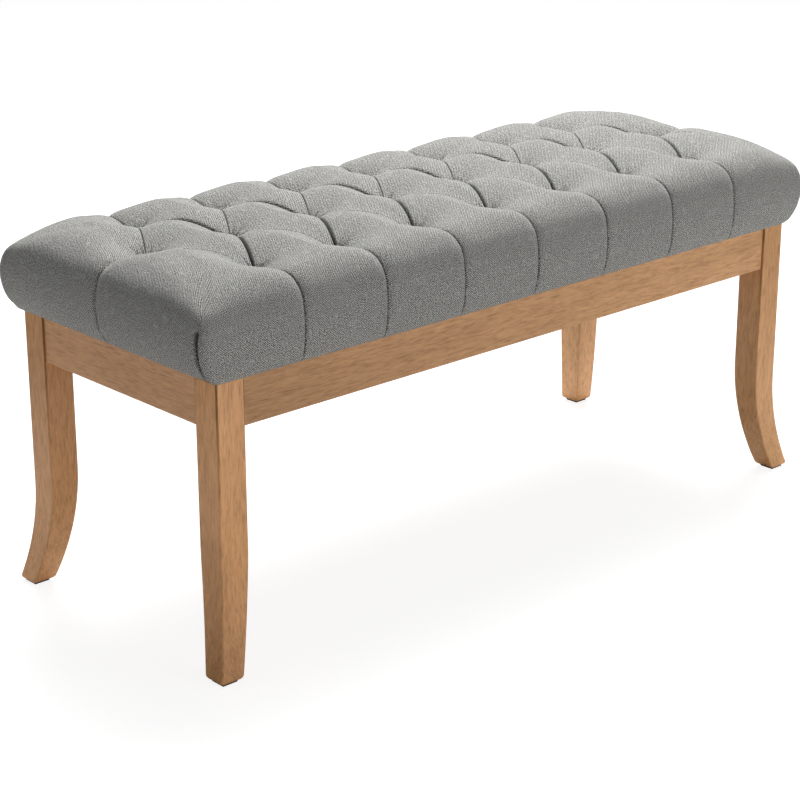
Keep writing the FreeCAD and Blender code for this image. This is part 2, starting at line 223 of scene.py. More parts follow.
def mesh_piece(name, points, faces, material):
    mesh = bpy.data.meshes.new(name)
    mesh.from_pydata(points, [], faces)
    shape = bmesh.new()
    shape.from_mesh(mesh)
    bmesh.ops.recalc_face_normals(shape, faces=shape.faces)
    shape.to_mesh(mesh)
    shape.free()
    mesh.materials.append(material)
    mesh.shade_smooth()
    piece = bpy.data.objects.new(name, mesh)
    bpy.context.scene.collection.objects.link(piece)
    return piece


def stacked_rings(rings):
    """Points and faces of a tube through rings, closed at both ends."""
    count = len(rings[0])
    points = [p for ring in rings for p in ring]
    faces = []
    for level in range(len(rings) - 1):
        for k in range(count):
            a, b = level * count + k, level * count + (k + 1) % count
            faces.append((a, b, b + count, a + count))
    last = (len(rings) - 1) * count
    faces.append(tuple(range(count)))
    faces.append(tuple(last + k for k in range(count)))
    return points, faces


def keep_flats_flat(piece):
    """Shade large faces flat and only the narrow roundings between them smooth."""
    weights = piece.modifiers.new("flat faces", "WEIGHTED_NORMAL")
    weights.weight = 100
    weights.keep_sharp = True


for end, x_side in (("left", -1), ("right", 1)):
    for side, y_side in (("front", -1), ("rear", 1)):
        node = "leg_" + side + "_" + end
        rings = [leg_ring(frame_top, x_side, y_side)]
        foot_start = sole + foot_round
        for k in range(sweep_steps + 1):
            z = inner_knee + (foot_start - inner_knee) * k / sweep_steps
            rings.append(leg_ring(z, x_side, y_side))
        for k in range(1, foot_round_steps + 1):
            angle = math.radians(90 / foot_round_steps * k)
            z = foot_start - foot_round * math.sin(angle)
            inset = foot_round * (1 - math.cos(angle))
            rings.append(leg_ring(z, x_side, y_side, inset))
        # The front left leg takes the wood with painted light.
        wood = front_left_wood if node == "leg_front_left" else upright_wood
        leg = mesh_piece("oak_" + node, *stacked_rings(rings), wood)
        keep_flats_flat(leg)
        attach(leg, "root")
        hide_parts(node)


# Rails. Four boards of the same wood between the legs, set back a little from their faces, with the
# two lower edges rounded over. They are doweled into the legs.

def finish_node(node, material):
    """Give a carried-over solid its material."""
    mesh = cad[node].data
    mesh.materials.clear()
    mesh.materials.append(material)


# The long rails carry painted shade that darkens them towards their left end.
lengthwise_wood = honey_wood("honey_wood_lengthwise", "x", left_end_painted_shade=0.74)
crosswise_wood = honey_wood("honey_wood_crosswise", "y")
for node in ("front_rail", "rear_rail"):
    finish_node(node, lengthwise_wood)
for node in ("left_end_rail", "right_end_rail"):
    finish_node(node, crosswise_wood)


# Dowels and corner blocks. Ribbed birch dowels join rails and legs, and a sawn, unfinished block is
# screwed and bolted behind each leg.

def plain_wood(name, grain, light, dark, scale):
    wood = NodeTree(name)
    place = (wood.add("ShaderNodeTexCoord"), "Object")
    squeeze = [0.08 if axis == grain else 1.0 for axis in "xyz"]
    streaks = wood.noise(wood.stretched(place, squeeze), scale, 5.0, 0.6, 0.4)
    wood.join(*wood.ramp(streaks, [(0.3, dark), (0.7, light)]), wood.shader, "Base Color")
    wood.shader.inputs["Roughness"].default_value = 0.72
    wood.bump(streaks, 0.0002)
    return wood.material


birch = plain_wood("sawn_birch", "x", (0.66, 0.50, 0.31), (0.50, 0.35, 0.20), 160.0)
for node in cad:
    if node.startswith("corner_block") or node == "rail_dowels":
        finish_node(node, birch)


# Fixings. Leg bolts with washers and nuts, wood screws and two angle brackets, all zinc plated.

zinc = NodeTree("zinc_plate")
place = (zinc.add("ShaderNodeTexCoord"), "Object")
spangle = zinc.noise(place, 900.0, 3.0, 0.6)
zinc.join(*zinc.ramp(spangle, [(0.35, (0.50, 0.50, 0.49)), (0.65, (0.68, 0.68, 0.67))]),
          zinc.shader, "Base Color")
zinc.join(*zinc.step(spangle, 0.3, 0.7, 0.28, 0.42), zinc.shader, "Roughness")
zinc.shader.inputs["Metallic"].default_value = 1.0
zinc.bump(spangle, 0.00005)
for node in ("leg_bolts", "leg_bolt_washers", "leg_bolt_nuts", "block_screws", "seat_screws",
             "seat_brackets"):
    finish_node(node, zinc.material)


# Seat board. A sheet of plywood, its veneers showing at the edge, drilled for the tufting twine.
# Its material is a plain streaked grain, without the veneers at the edge.

plywood = plain_wood("plywood_face", "x", (0.68, 0.53, 0.35), (0.52, 0.38, 0.23), 60.0)
finish_node("seat_board", plywood)


# Foam pad. A block of firm cream foam on the board, eased at the edges and pulled in a little where
# the twine of each tuft passes through it.

half_pitch = 0.0655
row_spacing = 0.125
middle_tufts = [-7 * half_pitch + 2 * half_pitch * k for k in range(8)]
outer_tufts = [-6 * half_pitch + 2 * half_pitch * k for k in range(7)]
tufts = [(x, 0.0) for x in middle_tufts]
tufts += [(x, y) for x in outer_tufts for y in (-row_spacing, row_spacing)]

foam = NodeTree("cream_foam")
place = (foam.add("ShaderNodeTexCoord"), "Object")
cells = foam.add("ShaderNodeTexVoronoi", scale=700.0)
foam.join(*place, cells, "Vector")
foam.join(*foam.ramp((cells, "Distance"), [(0.1, (0.60, 0.55, 0.40)), (0.5, (0.80, 0.76, 0.60))]),
          foam.shader, "Base Color")
foam.shader.inputs["Roughness"].default_value = 0.9
foam.bump((cells, "Distance"), 0.0004)

foam_low, foam_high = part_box("foam_pad")
foam_dent = 0.004
foam_dent_radius = 0.012


def foam_block(ease=0.004, columns=132, rows=50, levels=7):
    """The block's top and sides as one sheet, and its flat bottom as a face."""
    xs = np.linspace(-1, 1, columns)
    ys = np.linspace(-1, 1, rows)
    gx, gy = np.meshgrid(xs, ys, indexing="ij")
    x = gx * (foam_high.x - ease)
    y = gy * (foam_high.y - ease)
    z = np.full_like(x, foam_high.z)
    for tuft_x, tuft_y in tufts:
        away = np.hypot(x - tuft_x, y - tuft_y)
        z -= foam_dent * np.exp(-(away / foam_dent_radius) ** 2)
    top = np.stack([x, y, z], -1)
    index = np.arange(columns * rows).reshape(columns, rows)
    points = top.reshape(-1, 3).tolist()
    faces = []
    for i in range(columns - 1):
        for j in range(rows - 1):
            faces.append((index[i, j], index[i + 1, j], index[i + 1, j + 1], index[i, j + 1]))
    rim = list(index[:, 0]) + list(index[-1, 1:]) + list(index[-2::-1, -1]) + list(index[0, -2:0:-1])
    above = rim
    for level in range(1, levels + 1):
        angle = min(1.0, level / (levels - 2)) * math.pi / 2
        out = ease * math.sin(angle)
        down = ease * (1 - math.cos(angle))
        if level == levels:
            down = foam_high.z - foam_low.z
        ring = []
        for k in rim:
            px, py, _ = points[k]
            edge_x = abs(px) > foam_high.x - ease - 1e-6
            edge_y = abs(py) > foam_high.y - ease - 1e-6
            ring.append(len(points))
            points.append((px + math.copysign(out, px) * edge_x,
                           py + math.copysign(out, py) * edge_y, foam_high.z - down))
        for k in range(len(rim)):
            after = (k + 1) % len(rim)
            faces.append((above[k], ring[k], ring[after], above[after]))
        above = ring
    faces.append(tuple(above))
    return points, [tuple(int(v) for v in face) for face in faces]


foam_piece = mesh_piece("foam_block", *foam_block(), foam.material)
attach(foam_piece, "root")
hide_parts("foam_pad")


# Tufting twine. Waxed twine from each tuft down through the foam and the board, knotted underneath.

twine = NodeTree("waxed_twine")
place = (twine.add("ShaderNodeTexCoord"), "Object")
strands = twine.noise(twine.stretched(place, (1.0, 1.0, 0.3)), 1500.0, 2.0, 0.5)
twine.join(*twine.ramp(strands, [(0.35, (0.40, 0.36, 0.28)), (0.65, (0.62, 0.58, 0.49))]),
           twine.shader, "Base Color")
twine.shader.inputs["Roughness"].default_value = 0.6
twine.bump(strands, 0.0002)
finish_node("tufting_twine", twine.material)


# Seat cover. Mid-grey linen-look cloth over wadding, deep-tufted in diamonds without buttons. The
# cloth is folded into a pleat from tuft to tuft and from each outer tuft over the edge to the hem,
# and turned under the board, where it is stapled.

# Side profiles of the cover between its pleats, from the hem up to the flat of the top. The same
# count of places is given over the long side, as (y, z), and over the end, as (x, z).
long_side = np.array([(198, 376), (204.5, 384), (210, 406), (211, 436), (204, 467), (181, 488),
                      (150, 497), (115, 500)]) / 1000
short_end = np.array([(520, 376), (532, 384), (544, 406), (548, 437), (541, 469), (521, 487),
                      (497, 496.5), (470, 500)]) / 1000
# Radius of the corners, seen from above, at the same places.
corner_radius = np.array([5, 7, 9, 10, 14, 20, 16, 3]) / 1000


def smooth_line(marks, per_span=24):
    """A Catmull-Rom curve through marks, sampled evenly within each span."""
    marks = np.asarray(marks, float)
    padded = np.concatenate([2 * marks[:1] - marks[1:2], marks, 2 * marks[-1:] - marks[-2:-1]])
    out = []
    for k in range(len(marks) - 1):
        p0, p1, p2, p3 = padded[k:k + 4]
        for step in range(per_span):
            t = step / per_span
            out.append(0.5 * (2 * p1 + (p2 - p0) * t + (2 * p0 - 5 * p1 + 4 * p2 - p3) * t ** 2
                              + (3 * p1 - p0 - 3 * p2 + p3) * t ** 3))
    out.append(marks[-1])
    return np.array(out)


long_curve = smooth_line(long_side)
end_curve = smooth_line(short_end)
radius_curve = smooth_line(corner_radius[:, None])[:, 0]
samples = np.arange(len(long_curve))
long_run = np.concatenate([[0], np.cumsum(np.linalg.norm(np.diff(long_curve, axis=0), axis=1))])
end_run = np.concatenate([[0], np.cumsum(np.linalg.norm(np.diff(end_curve, axis=0), axis=1))])
top_y = long_side[-1, 0]
top_x = short_end[-1, 0]
sheet_half_width = top_y + long_run[-1]
sheet_half_length = top_x + end_run[-1]

# Threads run straight up to here, and crowd together between here and the corner.
straight_along = 0.430
straight_across = 0.080

# The top dips towards each corner, from this height up and within this distance.
corner_sag = 0.009
sag_from, sag_full = 0.43, 0.48
sag_reach = 0.035
sag_fade = 40


def along_ring(place, corner_place, free, straight, radius):
    """Where a thread of the sheet lies on one ring: how far along, and turned by what angle.

    Threads near a corner crowd together, as the cloth that is folded away there does.
    """
    length = straight + radius * math.pi / 4
    span = np.maximum(corner_place - free, 1e-6)
    t = np.clip((place - free) / span, 0, 1)
    crowd = span / np.maximum(length - free, 1e-6)
    eased = t + (crowd - 1) * t * (1 - t) ** 2
    run = np.where(place <= free, place, free + (length - free) * eased)
    angle = np.clip((run - straight) / np.maximum(radius, 1e-6), 0, math.pi / 4)
    return np.minimum(run, straight), angle


def loaf(a, b):
    """Where a point (a, b) of the flat sheet lies on the untufted pad, and its place in the weave."""
    across = np.abs(b)
    along = np.abs(a)
    level_b = np.interp(sheet_half_width - across, long_run, samples)
    level_a = np.interp(sheet_half_length - along, end_run, samples)
    level = np.minimum(level_a, level_b)
    x_ring = np.interp(level, samples, end_curve[:, 0])
    y_ring = np.interp(level, samples, long_curve[:, 0])
    z_long = np.interp(level, samples, long_curve[:, 1])
    z_end = np.interp(level, samples, end_curve[:, 1])
    radius = np.interp(level, samples, radius_curve)
    corner_a = sheet_half_length - np.interp(level, samples, end_run)
    corner_b = sheet_half_width - np.interp(level, samples, long_run)

    flat = level >= samples[-1]
    on_long = level_b <= level_a
    run, angle = along_ring(along, corner_a, straight_along, x_ring - radius, radius)
    weave_l = run + radius * angle
    x_l = run + radius * np.sin(angle)
    y_l = y_ring - radius + radius * np.cos(angle)
    turn_l = angle / (math.pi / 4)
    run, angle = along_ring(across, corner_b, straight_across, y_ring - radius, radius)
    weave_e = run + radius * angle
    y_e = run + radius * np.sin(angle)
    x_e = x_ring - radius + radius * np.cos(angle)
    turn_e = angle / (math.pi / 4)

    x = np.where(on_long, x_l, x_e)
    y = np.where(on_long, y_l, y_e)
    turn = np.where(on_long, turn_l, turn_e)
    own = np.where(on_long, z_long, z_end)
    z = own + ((z_long + z_end) / 2 - own) * turn ** 2
    to_corner = np.hypot(x - x_ring, y - y_ring)
    rise = np.clip((z - sag_from) / (sag_full - sag_from), 0, 1)
    rise = rise * np.clip((samples[-1] - level) / sag_fade, 0, 1)
    z = z - corner_sag * rise * np.exp(-(to_corner / sag_reach) ** 2)
    x = np.where(flat, along, x)
    y = np.where(flat, across, y)
    weave_a = np.where(flat | ~on_long, along, weave_l)
    weave_b = np.where(flat | on_long, across, weave_e)
    place = np.stack([np.sign(a) * x, np.sign(b) * y, z], -1)
    return place, np.stack([np.sign(a) * weave_a, np.sign(b) * weave_b], -1)


# The panel that wraps round a corner ends in an upright edge, with an open slit beside it. The edge
# stands at these distances from the bench's long axis, or as far in from the end of the rear panel.
fold_edge_heights = [0.376, 0.400, 0.430, 0.450]
fold_edge_places = [0.1940, 0.1965, 0.1990, 0.2010]
end_beyond_side = 0.337
fold_apex = 0.449
fold_apex_fade = 0.006
fold_lift = 0.0025
fold_lift_reach = 0.016
fold_slit = 0.0080
slit_place = 0.0016
slit_half_width = 0.0030


def corner_fold(place):
    """How far a panel lies under the edge of the next, which wraps round the corner, and its slit,
    with the painted shade inside the slit.

    The front panel wraps on to the ends, and the ends wrap on to the rear panel.
    """
    x, y, z = np.abs(place[..., 0]), np.abs(place[..., 1]), place[..., 2]
    rear = place[..., 1] > 0
    on_end = (x > frame_half_length - 0.001) & ~rear
    on_rear = (y > frame_half_width - 0.001) & rear
    upto_apex = np.clip((fold_apex - z) / fold_apex_fade, 0, 1)
    edge = np.interp(z, fold_edge_heights, fold_edge_places)
    from_edge = edge - np.where(rear, x - end_beyond_side, y)
    under = np.where(from_edge > 0, fold_lift * np.exp(-from_edge / fold_lift_reach), 0.0)
    slit = np.exp(-((from_edge - slit_place) / slit_half_width) ** 2)
    covered = (on_end | on_rear) * upto_apex
    # Painted shade: the inside of the slit is darkened in the cloth's colour.
    return (under + fold_slit * slit) * covered, np.minimum(1.0, 1.8 * slit) * covered


# The sheet is laid out in columns along the bench. Each column has the same count of threads, from
# the front hem to the front crease, across the diamond, and from the rear crease to the rear hem.

def eased(count, crowd=0.75):
    """Even steps from 0 to 1, crowded towards both ends, where the folds are."""
    t = np.linspace(0, 1, count + 1)
    return (1 - crowd) * t + crowd * (0.5 - 0.5 * np.cos(math.pi * t))


columns_per_half_pitch = 28
columns_per_end = 88
outer_threads = 130
diamond_threads = 64
crease_x = sorted(middle_tufts + outer_tufts)
column_a = []
for x0, x1 in zip(crease_x, crease_x[1:]):
    column_a += list(x0 + (x1 - x0) * eased(columns_per_half_pitch)[:-1])
end_columns = crease_x[-1] + (sheet_half_length - crease_x[-1]) * np.linspace(0, 1, columns_per_end + 1)
column_a = np.array(list(-end_columns[:0:-1]) + column_a + list(end_columns))

# In the photograph the rows of the cover stand a little off the twine's even spacing.
last_tuft = middle_tufts[-1]
front_row, middle_row, rear_row = -0.117, 0.012, 0.125
middle_row_fade = 0.060
phase = np.abs(((column_a + last_tuft) / (2 * half_pitch)) % 1.0 - 0.5) * 2
between = np.where(np.abs(column_a) < last_tuft, 1 - phase, 0.0)


def middle_line(a):
    """The middle tufts, and past the last of them the pleat over the end of the bench."""
    return middle_row * np.clip(1 - (np.abs(a) - last_tuft) / middle_row_fade, 0, 1)


# Over the ends the threads crowd where the corner folds stand and along the middle pleat instead.
outer = eased(outer_threads, 0.7)
probe = np.linspace(0, 1, 2000)
crowding = 1 + 5 * np.exp(-(((1 - probe) * sheet_half_width - 0.243) / 0.030) ** 2)
crowding += 3 * np.exp(-((1 - probe) * sheet_half_width / 0.010) ** 2)
crowding = np.concatenate([[0], np.cumsum(crowding[1:])])
outer_at_end = np.interp(np.linspace(0, 1, outer_threads + 1), crowding / crowding[-1], probe)
toward_end = np.clip((np.abs(column_a) - last_tuft - 0.004) / 0.040, 0, 1)[:, None]
outer = outer[None, :] * (1 - toward_end) + outer_at_end[None, :] * toward_end
inner = np.linspace(-1, 1, diamond_threads + 1)
inner = inner * 0.45 + 0.55 * np.sin(inner * math.pi / 2)
crease_middle = middle_line(column_a)
front_crease = (crease_middle + (front_row - middle_row) * between)[:, None]
rear_crease = (crease_middle + (rear_row - middle_row) * between)[:, None]
front_part = -sheet_half_width + (sheet_half_width + front_crease) * outer
diamond_part = front_crease + (rear_crease - front_crease) * (inner[None, 1:-1] + 1) / 2
rear_part = sheet_half_width + (rear_crease - sheet_half_width) * outer[:, ::-1]
sheet_b = np.concatenate([front_part, diamond_part, rear_part], axis=1)
sheet_a = np.repeat(column_a[:, None], sheet_b.shape[1], axis=1)


# How deep the cloth is drawn in, in metres. Each tuft is a funnel. A shallow valley runs from tuft to
# tuft, and where its fold is closed the two lips turn down into a narrow gap.

cover_tufts = [(x, middle_row) for x in middle_tufts]
cover_tufts += [(x, y) for x in outer_tufts for y in (front_row, rear_row)]
tuft_drop = 0.030
tuft_reach = 0.078
tuft_power = 1.55
tuft_hole = 0.010
tuft_hole_radius = 0.006
closed_radius = 0.012
valley_drop = 0.0095
valley_reach = 0.052
lip_drop = 0.0035
lip_reach = 0.0045

# From a middle tuft to the front row, a fold that leans left is closed and dark, and one that leans
# right is soft. Towards the rear row the first is an arch, dark under its near lip, and the second a
# thin line. Each has the depth of its gap, the half width of it to the left and to the right of its
# bottom, how much of the lip it has, the radius of the valley, and how strong the painted shade
# inside it is. Their darkness is partly the gap's own shade and partly this painted shade.
folds = {
    ("front", -1): (0.016, 0.0012, 0.0016, 1.0, 0.0006, 1.0),
    ("front", 1): (0.001, 0.0010, 0.0010, 0.1, 0.012, 0.15),
    ("rear", 1): (0.003, 0.0007, 0.0008, 0.3, 0.004, 0.60),
    ("rear", -1): (0.010, 0.0010, 0.0034, 0.8, 0.001, 1.0),
}

# A pleat runs from each outer tuft to the hem, and one from the last middle tuft over each end. These
# are the depth and the reach of its valley at distances from its tuft, and the gap along its line.
pleat_from_tuft = [0, 0.020, 0.040, 0.060, 0.080, 0.110, 0.150, 0.185]
pleat_drop = [0.024, 0.0200, 0.0150, 0.0095, 0.0050, 0.0028, 0.0022, 0.0004]
pleat_reach = [0.050, 0.048, 0.042, 0.032, 0.021, 0.013, 0.010, 0.006]
pleat_power = 2.3
pleat_gap = 0.0030
pleat_gap_width = 0.0009
# Painted shade along each pleat's line.
pleat_shade = 0.55
line_fade = 0.02
side_line_start, side_line_end = -0.02, 0.182
end_line_start, end_line_end = 0.075, 0.190


def rounded(distance, radius):
    return np.sqrt(distance ** 2 + radius ** 2) - radius


def falling(distance, reach, power):
    return (1 - np.clip(distance / reach, 0, 1)) ** power


def bell(distance, width):
    return np.exp(-(distance / width) ** 2)


def along_fold(a, b, side, lean):
    """Distance to the nearest fold that leaves the middle tufts to one side, less than 0 on the left
    of it, and how far along it.
    """
    row = front_row if side == "front" else rear_row
    share = (b - middle_row) / (row - middle_row)
    offset = (a + last_tuft) / (2 * half_pitch) - lean * 0.5 * share
    nearest = (offset - np.round(offset)) * 2 * half_pitch
    run = abs(row - middle_row)
    return nearest * run / math.hypot(half_pitch, run), share


gather_seed = np.random.RandomState(7)
gather_count = 9
gather_width = 0.0012
gather_middle = 0.012
gather_depth = 0.0020
# Painted shade along each gather.
gather_shade = 0.55


def gathers(a, b):
    """Fine creases that run into a tuft, where the cloth is drawn together."""
    total = np.zeros_like(a)
    for x, y in cover_tufts:
        away = np.hypot(a - x, b - y)
        angle = np.arctan2(b - y, a - x)
        start = gather_seed.uniform(0, 2 * math.pi)
        for k in range(gather_count):
            lean = start + 2 * math.pi * k / gather_count + gather_seed.uniform(-0.25, 0.25)
            length = gather_seed.uniform(0.014, 0.026)
            beside = away * np.abs(np.sin((angle - lean) / 2)) * 2
            crease = bell(beside, gather_width) * bell(away - gather_middle, length / 2)
            total = np.maximum(total, crease)
    return total


def drawn_in(a, b):
    """How deep, and the painted shade inside the folds, pleats, gathers and tuft holes, from 0 to 1."""
    along = np.abs(a)
    away = np.full_like(a, 1.0)
    for x, y in cover_tufts:
        away = np.minimum(away, np.hypot(a - x, b - y))
    hole = bell(away, tuft_hole_radius)
    funnel = tuft_drop * falling(away, tuft_reach, tuft_power)
    funnel += tuft_hole * hole
    by_tuft = bell(away, closed_radius)
    total = np.zeros_like(a)
    # Painted shade: the tuft holes, fold gaps, pleat lines and gathers darken the cloth's colour.
    dark = 0.5 * hole
    for (side, lean), (gap, left, right, lip, softness, shade) in folds.items():
        signed, share = along_fold(a, b, side, lean)
        distance = np.abs(signed)
        valid = (share >= 0) & (share <= 1) & (along <= last_tuft)
        inside = bell(signed, np.where(signed < 0, left, right))
        drop = valley_drop * falling(rounded(distance, softness), valley_reach, 2.0)
        drop += lip * lip_drop * np.exp(-distance / lip_reach)
        drop += gap * (1 - 0.6 * by_tuft) * inside
        total = np.where(valid, np.maximum(total, drop), total)
        dark = np.where(valid, np.maximum(dark, shade * np.minimum(1.0, 1.6 * inside)), dark)

    sideways = np.full_like(a, 1.0)
    for x in outer_tufts:
        sideways = np.minimum(sideways, np.abs(a - x))
    side_pleats = (np.maximum(front_row - b, b - rear_row), sideways, side_line_start, side_line_end)
    end_pleats = (along - last_tuft, np.abs(b - middle_line(a)), end_line_start, end_line_end)
    for beyond, off_line, line_start, line_end in (side_pleats, end_pleats):
        beyond_tuft = np.clip(beyond, 0, None)
        drop = np.interp(beyond_tuft, pleat_from_tuft, pleat_drop)
        reach = np.interp(beyond_tuft, pleat_from_tuft, pleat_reach)
        line = bell(off_line, pleat_gap_width) * np.clip((beyond - line_start) / line_fade, 0, 1)
        pleat = drop * falling(off_line, reach, pleat_power) + pleat_gap * line * (beyond < line_end)
        total = np.where(beyond > 0, np.maximum(total, pleat), total)
        dark = np.where(beyond > 0, np.maximum(dark, pleat_shade * line), dark)
    fine = gathers(a, b)
    depth = np.sqrt(funnel ** 2 + total ** 2) + gather_depth * fine
    return depth, np.maximum(dark, gather_shade * fine)


def outward(a, b, step=0.0008):
    """The direction straight out of the untufted pad."""
    run_a = loaf(a + step, b)[0] - loaf(a - step, b)[0]
    run_b = loaf(a, b + step)[0] - loaf(a, b - step)[0]
    normal = np.cross(run_a, run_b)
    return normal / np.maximum(np.linalg.norm(normal, axis=-1, keepdims=True), 1e-9)


untufted, in_weave = loaf(sheet_a, sheet_b)
inward, fold_shade = drawn_in(sheet_a, sheet_b)
slit_depth, slit_shade = corner_fold(untufted)
inward = inward + slit_depth
fold_shade = np.maximum(fold_shade, slit_shade)
surface = untufted - outward(sheet_a, sheet_b) * inward[..., None]
count_a, count_b = sheet_a.shape
index = np.arange(count_a * count_b).reshape(count_a, count_b)
corners = [index[:-1, :-1], index[1:, :-1], index[1:, 1:], index[:-1, 1:]]
cover_faces = np.stack(corners, -1).reshape(-1, 4)

cover_mesh = bpy.data.meshes.new("seat_cushion")
cover_mesh.from_pydata(surface.reshape(-1, 3).tolist(), [], cover_faces.tolist())
threads = cover_mesh.uv_layers.new(name="threads")
sheet_place = in_weave.reshape(-1, 2)
corner_vertex = np.zeros(len(cover_mesh.loops), np.int32)
cover_mesh.loops.foreach_get("vertex_index", corner_vertex)
threads.data.foreach_set("uv", sheet_place[corner_vertex].astype(np.float32).ravel())
# The painted shade goes on the mesh as the fold_shade attribute.
shade_layer = cover_mesh.attributes.new("fold_shade", "FLOAT", "POINT")
shade_layer.data.foreach_set("value", fold_shade.ravel().astype(np.float32))

# Under the hem the cloth is turned in by 20 mm. The pad is closed inside the board, out of sight.
shape = bmesh.new()
shape.from_mesh(cover_mesh)
rim = [edge for edge in shape.edges if edge.is_boundary]
for turn_in, level in ((0.003, 0.3762), (0.021, 0.3763), (0.022, 0.3780)):
    grown = bmesh.ops.extrude_edge_only(shape, edges=rim)["geom"]
    for vertex in (v for v in grown if isinstance(v, bmesh.types.BMVert)):
        reach_x = frame_half_length - turn_in
        reach_y = frame_half_width - turn_in
        vertex.co.x = max(-reach_x, min(reach_x, vertex.co.x))
        vertex.co.y = max(-reach_y, min(reach_y, vertex.co.y))
        vertex.co.z = level
    rim = [edge for edge in grown if isinstance(edge, bmesh.types.BMEdge) and edge.is_boundary]
bmesh.ops.remove_doubles(shape, verts=shape.verts, dist=0.00002)
rim = [edge for edge in shape.edges if edge.is_boundary]
bmesh.ops.triangle_fill(shape, edges=rim, use_beauty=False, use_dissolve=True)
bmesh.ops.recalc_face_normals(shape, faces=shape.faces)
shape.to_mesh(cover_mesh)
shape.free()
cover_mesh.shade_smooth()
cushion = bpy.data.objects.new("seat_cushion", cover_mesh)
bpy.context.scene.collection.objects.link(cushion)

# The weave: two sets of threads that vary in tone, their crossings, thicker slubs and light flecks.
# Over it lies painted shade, near black, inside the folds, pleats, gathers, tuft holes and slit.
cloth = NodeTree("grey_linen_cloth")
threads_at = (cloth.add("ShaderNodeUVMap", uv_map="threads"), "UV")
warp_pitch = 0.0031
weft_pitch = 0.0028
warp = cloth.noise(cloth.stretched(threads_at, (1.0, 0.60, 1.0)), 1000.0, 1.0, 0.5)
weft = cloth.noise(cloth.stretched(threads_at, (0.60, 1.0, 1.0)), 900.0, 1.0, 0.5)
wander = cloth.calc("MULTIPLY", cloth.noise(threads_at, 60.0, 2.0, 0.5), 5.0)
each_way = cloth.add("ShaderNodeSeparateXYZ")
cloth.join(*threads_at, each_way, "Vector")


def thread_wave(axis, pitch):
    turns = cloth.calc("MULTIPLY", (each_way, axis), 2 * math.pi / pitch)
    return cloth.calc("SINE", cloth.calc("ADD", turns, wander), 0.0)


crossings = cloth.calc("MULTIPLY", thread_wave("X", warp_pitch), thread_wave("Y", weft_pitch))
slubs = cloth.noise(cloth.stretched(threads_at, (1.0, 0.08, 1.0)), 760.0, 1.0, 0.5)
clouds = cloth.noise(threads_at, 26.0, 3.0, 0.6)
weave = cloth.calc("MULTIPLY", cloth.calc("ADD", warp, weft), 0.5)
weave = cloth.calc("ADD", weave, cloth.calc("MULTIPLY", crossings, 0.13))
tone_and_painted_light = cloth.ramp(weave, [(0.36, (0.032, 0.0315, 0.0295)), (0.50, (0.235, 0.2335, 0.218)),
                          (0.64, (0.690, 0.686, 0.650))])
mottled = cloth.ramp(clouds, [(0.30, (0.94, 0.94, 0.94)), (0.70, (1.0, 1.0, 1.0))])
tone_and_painted_light = cloth.blend(1.0, tone_and_painted_light, mottled, "MULTIPLY")
fleck = cloth.step(slubs, 0.62, 0.69)
tone_and_painted_light = cloth.blend(cloth.calc("MULTIPLY", fleck, 0.48), tone_and_painted_light, (0.62, 0.61, 0.58))
# Painted shade: inside the folds, pleats, gathers, tuft holes and slit the cloth is blended to near
# black.
painted_fold_shade = (cloth.add("ShaderNodeAttribute", attribute_name="fold_shade"), "Fac")
tone_and_painted_light = cloth.blend(cloth.calc("MULTIPLY", painted_fold_shade, 0.97), tone_and_painted_light, (0.004, 0.004, 0.004))
cloth.join(*tone_and_painted_light, cloth.shader, "Base Color")
cloth.shader.inputs["Roughness"].default_value = 0.88
cloth.shader.inputs["Specular IOR Level"].default_value = 0.2
cloth.shader.inputs["Sheen Weight"].default_value = 0.08
cloth.shader.inputs["Sheen Roughness"].default_value = 0.5
cloth.bump(weave, 0.0003)
cover_mesh.materials.append(cloth.material)

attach(cushion, "root")
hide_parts("seat_cover")


# Dust cover. Black spun cloth, its edge folded under and stapled up to the board. It hangs a few
# millimetres clear of the knots and is slightly slack between the staples.

black = NodeTree("black_spun_cloth")
place = (black.add("ShaderNodeTexCoord"), "Object")
fibres = black.noise(place, 1400.0, 4.0, 0.7)
black.join(*black.ramp(fibres, [(0.3, (0.010, 0.010, 0.011)), (0.7, (0.035, 0.035, 0.038))]),
           black.shader, "Base Color")
black.shader.inputs["Roughness"].default_value = 0.9
black.bump(fibres, 0.0003)

tray_low, tray_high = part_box("dust_cover")
tray_edges = [v.co for v in cad["dust_cover"].data.vertices]
cut_x = max(co.x for co in tray_edges if co.y > tray_high.y - 0.0005)
cut_y = max(co.y for co in tray_edges if co.x > tray_high.x - 0.0005)


def dust_cover_outline():
    """Points round the cloth, whose corners are cut off behind the corner blocks."""
    counts = (14, 5, 40, 5)
    marks = [(tray_high.x, -cut_y), (tray_high.x, cut_y), (cut_x, tray_high.y), (-cut_x, tray_high.y)]
    marks += [(-x, -y) for x, y in marks]
    points = []
    for k, (x, y) in enumerate(marks):
        after_x, after_y = marks[(k + 1) % len(marks)]
        for step in range(counts[k % 4]):
            share = step / counts[k % 4]
            points.append((x + (after_x - x) * share, y + (after_y - y) * share))
    return points


